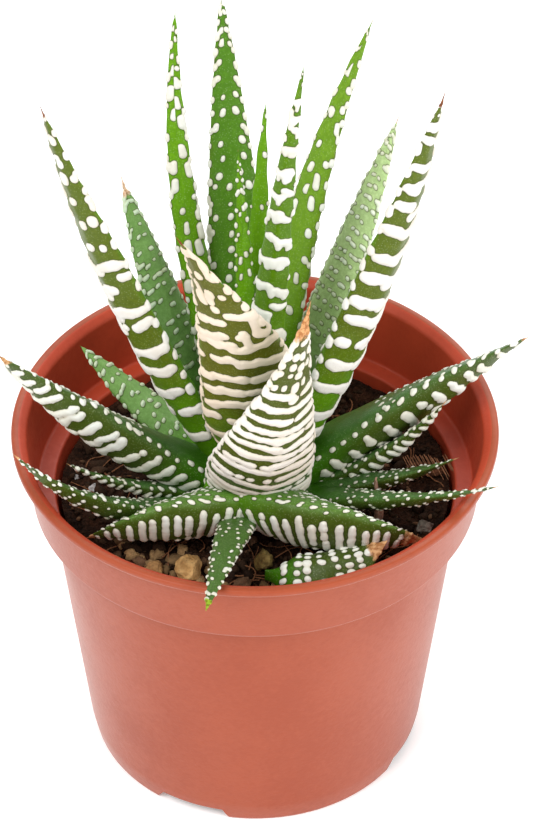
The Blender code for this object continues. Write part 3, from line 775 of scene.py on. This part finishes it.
# what a leaf has of its own, over its kind's look
leafChanges = {
    "leaf_01": {"pearls": 4.0, "pearlSize": 0.3, "pearlTall": 3.0, "edge": 3.0},
    "leaf_02": {"pearls": 12.0, "bandTo": 0.3, "edge": 14.0},
    "leaf_04": {"pearls": 3.9, "pearlSize": 0.72, "dry": 0.975, "edge": 5.0, "skin": "heart"},
    "leaf_05": {"pearls": 2.8, "pearlSize": 0.50, "pearlStep": 2.1, "pearlTall": 1.2, "stagger": 0.0,
                "edge": 2.8, "stray": 0.08, "skin": "tall"},
    "leaf_07": {"skew": 0.10},
    "leaf_08": {"skew": -0.22, "slant": 0.4},
    "leaf_09": {"slant": 1.8, "bandTo": 0.92, "sparse": 0.15, "dry": 0.955, "band": 1.02},
    "leaf_10": {"bandTo": 0.60, "sparse": 0.2, "dry": 0.965},
    "leaf_11": {"dry": 0.92},
    "leaf_12": {"dry": 0.975, "pearls": 2.0, "pearlStep": 1.3, "pearlSize": 0.36, "skin": "pale"},
    "leaf_13": {"dry": 0.94},
    "leaf_14": {"dry": 0.965, "pitch": 3.8, "band": 0.74},
    "leaf_15": {"dry": 0.86, "pinch": 0.2, "pitch": 2.2, "band": 0.34, "skin": "bright"},
    "leaf_16": {"dry": 1.0},
    "leaf_17": {"pitch": 2.2, "band": 0.38},
    "leaf_18": {"dry": 0.95, "pinch": 0.1, "pitch": 2.2, "skin": "bright"},
    "leaf_19": {"dry": 0.93, "pinch": 0.0, "pearls": 2.0, "pearlStep": 1.5, "pearlFrom": 0.3,
                "skin": "fresh tip"},
    "leaf_20": {"bandTo": 0.1, "pitch": 2.8, "sparse": 0.3},
    "leaf_21": {"pitch": 2.0, "band": 0.36},
    "leaf_22": {"dry": 0.84, "pinch": 0.35, "bandTo": 0.10, "band": 0.54, "pitch": 2.5, "bandFrom": 0.16,
                "sparse": 0.15, "edge": 3.2, "loose": 0.8},
    "leaf_23": {"band": 0.30, "sparse": 0.6, "bandTo": 0.3, "edge": 4.0, "edgeSize": 0.9},
    "leaf_24": {"band": 0.30, "sparse": 0.6, "bandTo": 0.3, "edge": 4.0, "edgeSize": 0.9},
}


def widthShare(along, foot, fullness):
    # widens smoothly from the foot and then closes to the tip, more bluntly for a higher fullness
    ease = np.clip(along / widestAt, 0.0, 1.0)
    lower = foot + (1.0 - foot) * ease * ease * (3.0 - 2.0 * ease)
    toward = np.clip((along - widestAt) / (1.0 - widestAt), 0.0, 1.0)
    return np.where(along < widestAt, lower, (1.0 - toward ** fullness) ** 0.9)


spineRules = {"end": 0.998, "rollAtFoot": 0.4, "rollUntil": 0.6}


def spineFrames(shape, rows, bendPower):
    # the leaf's centreline and the two directions across it, row by row
    azimuth, seatRadius, seatHeight, aim, rise, curl, sweep, roll, length = shape[:9]
    along = np.linspace(0.0, spineRules["end"], rows)
    middle = np.concatenate([[0.0], (along[1:] + along[:-1]) / 2])
    heading = np.radians(azimuth + aim + sweep * middle ** bendPower)
    climb = np.radians(rise + curl * middle)
    tangent = np.stack([np.cos(climb) * np.cos(heading), np.cos(climb) * np.sin(heading), np.sin(climb)], -1)
    side = np.stack([-np.sin(heading), np.cos(heading), 0 * heading], -1)
    inward = np.cross(tangent, side)
    steps = np.diff(along, prepend=0.0)[:, None] * tangent * length * mm
    turn = math.radians(azimuth)
    start = np.array([seatRadius * mm * math.cos(turn), seatRadius * mm * math.sin(turn),
                      soilTop + seatHeight * mm])
    rolled = spineRules["rollAtFoot"] + np.minimum(along, spineRules["rollUntil"])
    spin = math.radians(roll) * rolled[:, None]
    across = side * np.cos(spin) + inward * np.sin(spin)
    upward = inward * np.cos(spin) - side * np.sin(spin)
    return along, start + np.cumsum(steps, 0), tangent, across, upward


keelRules = {"samples": 480, "soft": 0.02, "low": 0.1414, "span": 0.8686}


def leafSection(half, deep, keel, around):
    # evenly spaced points round a blade: a shallow inner face and a keeled outer one, from the inner middle
    samples = keelRules["samples"]
    turn = np.linspace(math.pi / 2, math.pi * 2.5, samples + 1)
    x = np.cos(turn)
    inner = np.sin(turn) * innerShare
    ridge = 1.0 - (np.sqrt(x * x + keelRules["soft"]) - keelRules["low"]) / keelRules["span"]
    outer = -(1.0 - innerShare) * ((1.0 - keel) * np.abs(np.sin(turn)) + keel * ridge)
    y = np.where(np.sin(turn) > 0, inner, outer)
    px, py = x * half, y * deep
    arc = np.concatenate([[0.0], np.cumsum(np.hypot(np.diff(px), np.diff(py)))])
    spots = np.linspace(0.0, arc[-1], around, endpoint=False)
    keelArc, marginArc = arc[samples // 2], arc[samples * 3 // 4]
    px, py = np.interp(spots, arc, px), np.interp(spots, arc, py)
    return px, py, spots - keelArc, marginArc - keelArc, arc[-1] / 2


# each mark is a rounded stroke on the leaf's own chart: two ends, each along and across in mm, then two radii
markRules = {"bandEnd": 0.985, "edgeEnd": 0.97, "pearlEnd": 0.96, "thinFrom": 0.5, "thinBy": 0.35,
             "shift": 0.12, "wander": 0.05, "keep": 0.6, "size": (0.76, 1.22), "dropChance": 0.55,
             "pearlChance": 0.88}


def halfBand(look, rng, spot, side, margin, radius, dotted):
    # one band from the keel out to one margin, as joined strokes or as separate dots
    strokes, last, wander = [], None, 0.0
    keelShift = rng.gauss(0, markRules["shift"]) * look["pitch"] * look["loose"]
    reach = margin * look["reach"] * rng.uniform(0.86, 1.0)
    across = rng.uniform(-0.15, 0.45) * radius if rng.random() < 0.75 else rng.uniform(0.1, 0.3) * margin
    while across < reach:
        nudge = rng.gauss(0, markRules["wander"]) * look["pitch"] * look["loose"]
        wander = markRules["keep"] * wander + nudge
        bow = look["slant"] * (abs(across) / max(margin, 0.1)) ** 1.5 * min(1.0, margin / 5.0)
        place = spot + keelShift + bow + wander + look["skew"] * side * across
        aside = side * across
        size = radius * rng.uniform(*markRules["size"])
        if dotted:
            tall = rng.uniform(0.1, 1.1) * radius
            if rng.random() > look["sparse"]:
                strokes.append((place - tall / 2, aside, place + tall / 2, aside, size, size))
            across += radius * rng.uniform(2.5, 3.4)
            continue
        if last is None:
            strokes.append((place, aside, place + 0.01, aside, size, size))
        else:
            strokes.append((last[0], last[1], place, aside, last[2], size))
        last = (place, aside, size)
        if look["drops"] and rng.random() < markRules["dropChance"]:
            end = place - look["drops"] * rng.uniform(0.4, 1.0)
            strokes.append((place, aside, end, aside, size, size * 0.8))
        if rng.random() < look["breaks"]:
            last = None
            keelShift += rng.gauss(0, markRules["shift"]) * look["pitch"]
            across += radius * rng.uniform(2.3, 3.0)
        else:
            across += radius * rng.uniform(0.9, 1.5)
    return strokes


def outerBands(look, rng, length, marginAt):
    # bands across the outer face, with a few links from one to the next
    strokes = []
    spot = look["bandFrom"] * length + rng.uniform(0, 1)
    while spot < markRules["bandEnd"] * length:
        share = spot / length
        margin = marginAt(spot)
        late = max(0.0, (share - markRules["thinFrom"]) / (1.0 - markRules["thinFrom"]))
        thin = 1.0 - markRules["thinBy"] * late
        radius = min(look["band"] * thin, 0.55 * margin)
        for side in (-1, 1):
            strokes += halfBand(look, rng, spot, side, margin, radius, share > look["bandTo"])
            if rng.random() < look["links"]:
                place = side * rng.uniform(0.3, 0.9) * margin
                end = spot + look["pitch"] * 0.95
                strokes.append((spot, place, end, place + rng.gauss(0, 0.4), radius * 0.8, radius * 0.8))
        spot += look["pitch"] * rng.uniform(0.86, 1.14) * (1.0 - 0.25 * share)
    return strokes


def edgePearls(look, rng, length, marginAt):
    # a row of pearls along each margin
    strokes = []
    for side in (-1, 1):
        spot = (look["bandFrom"] + 0.02) * length
        while spot < markRules["edgeEnd"] * length:
            margin = marginAt(spot)
            radius = min(look["band"] * look["edgeSize"] * rng.uniform(0.8, 1.1), 0.5 * margin + 0.1)
            tall = rng.uniform(0.2, 1.5) * radius
            place = side * margin * rng.uniform(0.97, 1.06)
            strokes.append((spot, place, spot + tall, place, radius, radius * 0.9))
            spot += look["edge"] * rng.uniform(0.8, 1.2)
    return strokes


def innerPearls(look, rng, length, marginAt, halfAt):
    # pearls in rows over the inner face
    strokes = []
    sideways = look["pearlAcross"]
    spot = look["pearlFrom"] * length
    while spot < markRules["pearlEnd"] * length:
        inner = halfAt(spot) - marginAt(spot)
        count = max(1, int(inner / look["pearlStep"]))
        for side in (-1, 1):
            for index in range(count):
                share = (index + rng.uniform(0.25, 0.75)) / count
                radius = min(look["pearlSize"] * rng.uniform(0.7, 1.25), 0.45 * inner)
                tall = radius * rng.uniform(0.0, look["pearlTall"])
                place = spot + rng.gauss(0, look["stray"]) * look["pearls"]
                place += look["stagger"] * look["pearls"] * (side > 0)
                across = marginAt(spot) + share * inner
                if rng.random() < markRules["pearlChance"]:
                    strokes.append((place, side * across, place + tall * (1.0 - 0.85 * sideways),
                                    side * (across + tall * sideways), radius, radius * 0.9))
        spot += look["pearls"] * rng.uniform(0.85, 1.15)
    return strokes


fieldRules = {"pad": 1.3, "farthest": 3.0}


def markField(strokes, rows, cross, spacing):
    # smooth union of every stroke; returns how far each chart point lies outside the marks, in mm
    total = np.full(cross.shape, 1e-9)
    for startRow, startCross, endRow, endCross, startRadius, endRadius in strokes:
        pad = max(startRadius, endRadius) + fieldRules["pad"]
        first = max(0, int((min(startRow, endRow) - pad) / spacing))
        last = min(len(rows), int((max(startRow, endRow) + pad) / spacing) + 2)
        if last <= first:
            continue
        u = rows[first:last, None] - startRow
        v = cross[first:last] - startCross
        du, dv = endRow - startRow, endCross - startCross
        share = np.clip((u * du + v * dv) / max(du * du + dv * dv, 1e-9), 0.0, 1.0)
        away = np.hypot(u - share * du, v - share * dv) - (startRadius + (endRadius - startRadius) * share)
        total[first:last] += np.exp(-unionSharpness * np.minimum(away, fieldRules["farthest"]))
    return -np.log(total) / unionSharpness


bladeRules = {"fineSpacing": 0.21, "spacing": 0.25, "edgeRise": 0.75, "markEdge": 0.7, "tipTaper": 0.08,
              "waveHeight": 0.10, "tipReach": 0.0035}


def buildLeaf(name, seed):
    shape, rules = leafShapes[name], bladeRules
    look = {**leafDefaults, **leafLooks[kindOf[name]], **leafChanges.get(name, {})}
    length, width, thickness, foot, fullness = shape[8:]
    spacing = rules["fineSpacing"] if name in fineLeaves else rules["spacing"]
    bendPower = 1 if name in earlyBenders else 2
    along, centre, tangent, across, upward = spineFrames(shape, int(length / spacing), bendPower)
    if name not in narrowFeet:
        foot = min(1.0, foot + footGain)
    share = widthShare(along, foot, fullness)
    dried = np.clip((along - look["dry"] + 0.02) / max(0.01, 1.0 - look["dry"]), 0.0, 1.0)
    half = width / 2 * share * (1.0 - look["pinch"] * dried * (2.0 - dried))
    deep = thickness * (0.35 + 0.65 * share) * (1.0 - along ** 3)
    around = int(2.15 * (width + 0.55 * thickness) / spacing)
    sections = [leafSection(h, d, 0.15 + 0.45 * a, around) for h, d, a in zip(half, deep, along)]
    px, py, cross, margins, halves = (np.array(column) for column in zip(*sections))
    rows = along * length

    def marginAt(spot):
        return float(np.interp(spot, rows, margins))

    def halfAt(spot):
        return float(np.interp(spot, rows, halves))

    rng = random.Random(seed)
    strokes = outerBands(look, rng, length, marginAt)
    strokes += edgePearls(look, rng, length, marginAt)
    strokes += innerPearls(look, rng, length, marginAt, halfAt)
    away = markField(strokes, rows, cross, rows[1] - rows[0])
    rise = np.clip(-away / rules["edgeRise"], 0.0, 1.0)
    height = pearlHeight * (1.0 - (1.0 - rise) ** 2) ** 0.6
    taper = np.clip((1.0 - along[:, None]) / rules["tipTaper"], 0.15, 1.0)
    wave = rules["waveHeight"] * np.sin(rows[:, None] * 0.9 + seed) * np.sin(cross * 0.5 + seed * 2.1)
    points = centre[:, None] + across[:, None] * px[..., None] * mm + upward[:, None] * py[..., None] * mm
    down = np.gradient(points, axis=0)
    aside = np.roll(points, -1, 1) - np.roll(points, 1, 1)
    normal = np.cross(aside, down)
    normal /= np.maximum(np.linalg.norm(normal, axis=-1, keepdims=True), 1e-12)
    normal *= np.sign(np.sum(normal * (points - centre[:, None]), -1).mean())
    points = points + normal * ((height + wave) * taper)[..., None] * mm
    dryness = (along[:, None] - look["dry"]) / max(1e-3, 1.0 - look["dry"]) * 1.5
    values = {
        "mark": np.clip(0.5 - away / rules["markEdge"], 0.0, 1.0),
        "along": np.repeat(along[:, None], around, 1),
        "face": np.clip((np.abs(cross) - margins[:, None]) / np.maximum(margins[:, None], 0.2), -1.0, 1.0),
        "dry": np.clip(dryness + 0 * cross, -1.0, 1.0) * 0.5 + 0.5,
    }
    tip = centre[-1] + tangent[-1] * rules["tipReach"] * length * mm
    mesh = gridMesh(name + "_blade", points, centre[0], tip, values)
    addGridUv(mesh, *cross.shape)
    linkMesh(name + "_blade", mesh, [leafSkins[look["skin"]]], (name,))
    return len(mesh.polygons)


# base is the smooth foot, in several skins darkened as painted shade where the leaves crowd together; inner
# and outer the two faces, mark the raised bands, tip the dried end
leafColors = {
    "heart": {"base": (0.12, 0.34, 0.004), "inner": (0.13, 0.31, 0.006), "outer": (0.10, 0.215, 0.004),
              "mark": (0.76, 0.75, 0.70), "tip": (0.30, 0.16, 0.05)},
    "tall": {"base": (0.075, 0.24, 0.003), "inner": (0.085, 0.215, 0.014), "outer": (0.10, 0.20, 0.010),
             "mark": (0.76, 0.77, 0.70), "tip": (0.20, 0.30, 0.03)},
    "light": {"base": (0.12, 0.29, 0.003), "inner": (0.155, 0.30, 0.016), "outer": (0.15, 0.25, 0.012),
              "mark": (0.76, 0.77, 0.70), "tip": (0.25, 0.20, 0.03)},
    "banded": {"base": (0.13, 0.30, 0.004), "inner": (0.11, 0.25, 0.006), "outer": (0.115, 0.120, 0.008),
               "mark": (0.77, 0.66, 0.54), "tip": (0.30, 0.085, 0.03)},
    "striped": {"base": (0.03, 0.13, 0.003), "inner": (0.05, 0.16, 0.010), "outer": (0.078, 0.098, 0.008),
                "mark": (0.78, 0.74, 0.68), "tip": (0.68, 0.36, 0.16)},
    "olive": {"base": (0.10, 0.26, 0.003), "inner": (0.10, 0.26, 0.008), "outer": (0.098, 0.135, 0.006),
              "mark": (0.77, 0.75, 0.71), "tip": (0.24, 0.09, 0.035)},
    "fresh": {"base": (0.10, 0.30, 0.008), "inner": (0.21, 0.38, 0.11), "outer": (0.10, 0.22, 0.03),
              "mark": (0.56, 0.68, 0.50), "tip": (0.74, 0.52, 0.36)},
    "pale": {"base": (0.16, 0.36, 0.05), "inner": (0.58, 0.74, 0.36), "outer": (0.40, 0.56, 0.24),
             "mark": (0.80, 0.86, 0.74), "tip": (0.74, 0.52, 0.42)},
    "grey": {"base": (0.045, 0.165, 0.003), "inner": (0.065, 0.150, 0.036), "outer": (0.058, 0.092, 0.010),
             "mark": (0.74, 0.76, 0.70), "tip": (0.62, 0.36, 0.17)},
    "bright": {"base": (0.085, 0.24, 0.003), "inner": (0.13, 0.27, 0.05), "outer": (0.062, 0.098, 0.010),
               "mark": (0.76, 0.78, 0.72), "tip": (0.66, 0.40, 0.20)},
    "fresh tip": {"base": (0.045, 0.16, 0.003), "inner": (0.075, 0.155, 0.030),
                  "outer": (0.060, 0.100, 0.012), "mark": (0.72, 0.74, 0.68), "tip": (0.30, 0.46, 0.03)},
}
# the two ends of each mask, the colours that tint, and how each layer adds to the roughness
skinMasks = {"face": (-0.15, 0.25), "foot": (0.12, 0.42), "quick": (0.40, 0.70), "cells": (0.35, 0.05),
             "edge": (0.20, 0.44), "pearl": (0.55, 0.85), "warm": (0.42, 0.62), "mark": (0.43, 0.55),
             "husk": (0.38, 0.62), "dry": (0.46, 0.60)}
skinTints = {"deeper": (0.80, 0.84, 0.78, 1.0), "pale": (0.5, 0.6, 0.32, 1.0),
             # edge is the dark ring round the raised marks: painted contact shadow
             "edge": (0.028, 0.036, 0.004, 1.0), "mark": (0.50, 0.46, 0.26, 1.0),
             "warm": (0.93, 0.90, 0.85, 1.0), "husk": (0.55, 0.42, 0.32, 1.0)}
skinRough = {"green": 0.36, "mark": 0.16, "dry": 0.35}


def buildLeafGroup():
    # the green of a blade and what lies on it: foot darkened in several skins as painted shade, two faces,
    # raised marks with dark edges of painted contact shadow, dried tip
    tree, start, end = newGroup(
        "leafSkin", [(label, "NodeSocketColor", (0.2, 0.2, 0.2, 1.0))
                     for label in ("Base", "Inner", "Outer", "Mark", "Tip")],
        [("Color", "NodeSocketColor"), ("Roughness", "NodeSocketFloat"), ("Height", "NodeSocketFloat")])
    base, inner, outer, markColor, tipColor = list(start.outputs)[:5]
    along, face = attribute(tree, "along"), attribute(tree, "face")
    mark, dry = attribute(tree, "mark"), attribute(tree, "dry")
    place = addNode(tree, "ShaderNodeTexCoord").outputs["Object"]
    slowNode, quickNode = noiseNode(tree, 90.0, 4.0), noiseNode(tree, 1500.0, 3.0)
    for node in (slowNode, quickNode):
        tree.links.new(place, node.inputs["Vector"])
    slow, quick = slowNode.outputs["Fac"], quickNode.outputs["Fac"]
    cells = addNode(tree, "ShaderNodeTexVoronoi", Scale=2600.0, Vector=place).outputs["Distance"]

    def mask(name, source):
        return rampMask(tree, source, *skinMasks[name])

    def tinted(name, color, share=1.0, blend="MULTIPLY"):
        return mixColor(tree, share, color, skinTints[name], blend)

    shifted = calc(tree, "MULTIPLY_ADD", slow, 0.5, calc(tree, "SUBTRACT", face, 0.25))
    green = mixColor(tree, mask("face", shifted), outer, inner)
    # the foot colour, which in several skins is darker as painted shade where the leaf bases crowd together
    foot = calc(tree, "MULTIPLY_ADD", slow, 0.25, calc(tree, "SUBTRACT", along, 0.12))
    green = mixColor(tree, mask("foot", foot), base, green)
    green = mixColor(tree, mask("quick", quick), tinted("deeper", green), green)
    green = mixColor(tree, mask("cells", cells), green, tinted("pale", green, 0.25, "MIX"))
    # a dark ring round each raised mark: painted contact shadow
    green = tinted("edge", green, calc(tree, "MULTIPLY", mask("edge", mark), 0.72), "MIX")
    pearl = mixColor(tree, mask("pearl", mark), tinted("mark", markColor, 0.30, "MIX"), markColor)
    pearl = mixColor(tree, mask("warm", slow), pearl, tinted("warm", pearl))
    markMask = mask("mark", mark)
    skin = mixColor(tree, markMask, green, pearl)
    husk = mixColor(tree, mask("husk", quick), tinted("husk", tipColor), tipColor)
    ragged = calc(tree, "MULTIPLY_ADD", quick, 0.30, calc(tree, "SUBTRACT", dry, 0.15))
    dryMask = mask("dry", ragged)
    tree.links.new(mixColor(tree, dryMask, skin, husk), end.inputs["Color"])
    rough = calc(tree, "MULTIPLY_ADD", markMask, skinRough["mark"], skinRough["green"])
    driedRough = calc(tree, "MULTIPLY_ADD", dryMask, skinRough["dry"], rough)
    tree.links.new(driedRough, end.inputs["Roughness"])
    tree.links.new(calc(tree, "MULTIPLY_ADD", cells, 0.4, quick), end.inputs["Height"])
    return tree


def buildLeafSkins():
    group = buildLeafGroup()
    skins = {}
    for name, colors in leafColors.items():
        made, tree, shader = newMaterial("leaf_" + name.replace(" ", "_"), 0.4, 0.16)
        values = {label.capitalize(): (*value, 1.0) for label, value in colors.items()}
        node = placeGroup(tree, group, **values)
        tree.links.new(node.outputs["Color"], shader.inputs["Base Color"])
        tree.links.new(node.outputs["Roughness"], shader.inputs["Roughness"])
        addBump(tree, shader, node.outputs["Height"], 0.25, 0.2 * mm)
        skins[name] = made
    return skins


stemLook = {"steps": 13, "turns": 72, "footShare": 0.8, "narrowing": 0.62, "narrowPower": 1.6, "ripple": 0.05,
            "roughness": 0.6, "specular": 0.3, "color": (0.10, 0.16, 0.03, 1.0),
            "drift": (0.16, 0.10, 0.05, 1.0), "coarse": 180.0, "fine": 1600.0, "amount": 0.9,
            "grain": 1800.0, "pits": 0.6, "bump": 0.4, "depth": 0.3 * mm}


def buildStem():
    low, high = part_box("stem")
    look, radius = stemLook, high.x
    outline = [(0.0, low.z), (radius * look["footShare"], low.z)]
    for step in range(look["steps"] + 1):
        share = step / look["steps"]
        narrowed = 1.0 - look["narrowing"] * share ** look["narrowPower"]
        bulge = radius * narrowed * (1.0 + look["ripple"] * math.sin(step * 1.9))
        outline.append((bulge, low.z + (high.z - low.z) * (0.06 + 0.92 * share)))
    outline.append((0.0, high.z))
    mesh = turnedMesh("stem_core", outline, look["turns"])
    linkMesh("stem_core", mesh, [plainMaterial("stem_skin", look)], ("stem",))


witheredLook = {"place": (21.5, -10.0, 0.4), "rise": 86, "length": 11.0, "width": 2.4, "thickness": 0.5,
                "rows": 90, "around": 36, "end": 0.995, "fold": 0.45, "crease": 0.10, "roughness": 0.8,
                "specular": 0.25, "color": (0.44, 0.27, 0.19, 1.0), "drift": (0.13, 0.065, 0.045, 1.0),
                "coarse": 300.0, "fine": 1500.0, "amount": 0.85, "grain": 1600.0, "pits": 0.5, "bump": 0.6,
                "depth": 0.4 * mm}


def buildWithered():
    # a papery dead leaf: two thin edges folded round a hollow face, standing beside the rosette
    look = witheredLook
    along = np.linspace(0.0, look["end"], look["rows"])
    x, y, lift = look["place"]
    width = look["width"] / 2 * np.sin(np.pi * np.clip(along * 0.86 + 0.14, 0, 1)) ** 0.7 + 0.08
    turn = np.linspace(0, 2 * math.pi, look["around"], endpoint=False)
    twist = 0.5 + 1.5 * along[:, None]
    px = width[:, None] * np.cos(turn)
    py = look["thickness"] * 0.4 * np.sin(turn) + look["fold"] * width[:, None] * np.cos(turn) ** 2
    py = py + look["crease"] * np.sin(px * 9 + along[:, None] * 22)
    cx = x + 0.5 * np.sin(along * 5.0)
    cy = y + look["length"] * math.cos(math.radians(look["rise"])) * along + 0.3 * np.sin(along * 7)
    points = np.stack([cx[:, None] + px * np.cos(twist) - py * np.sin(twist),
                       cy[:, None] + px * np.sin(twist) + py * np.cos(twist),
                       soilTop / mm + lift + look["length"] * along[:, None] * 0.98 + 0 * px], -1) * mm
    mesh = gridMesh("withered_leaf", points, points[0].mean(0), points[-1].mean(0))
    linkMesh("withered_leaf", mesh, [plainMaterial("withered_paper", look)], ("withered_leaf",))


floorLook = {"size": 3.0, "roughness": 0.85, "specular": 0.1, "color": (0.93, 0.93, 0.93, 1.0),
             "drift": (0.91, 0.91, 0.905, 1.0), "coarse": 3.0, "fine": 60.0, "amount": 0.5,
             "glow": (1.0, 1.0, 1.0, 1.0), "glowStrength": 0.22}


def buildFloor():
    # a plain white card that glows a little
    look, size = floorLook, floorLook["size"]
    mesh = bpy.data.meshes.new("floor")
    corners = [(-size, -size, 0), (size, -size, 0), (size, size, 0), (-size, size, 0)]
    mesh.from_pydata(corners, [], [(0, 1, 2, 3)])
    floor = placeObject("floor", mesh)
    made, tree, shader = newMaterial("floor_card", look["roughness"], look["specular"])
    addDrift(tree, shader, look, look["color"], look["drift"])
    shader.inputs["Emission Color"].default_value = look["glow"]
    shader.inputs["Emission Strength"].default_value = look["glowStrength"]
    mesh.materials.append(made)


bpy.context.scene.view_settings.view_transform = "Standard"
buildCamera()
buildLights()
buildFloor()
print("stage built")
buildPot()
print("pot built")
buildSoil()
for seed, name in enumerate(scatterLooks):
    buildScatter(name, 41 + 7 * seed)
buildFibres()
buildStones()
print("soil built")
buildStem()
buildWithered()
leafSkins = buildLeafSkins()
total = sum(buildLeaf(name, 100 + index) for index, name in enumerate(leafShapes))
print("leaves built:", total, "faces")
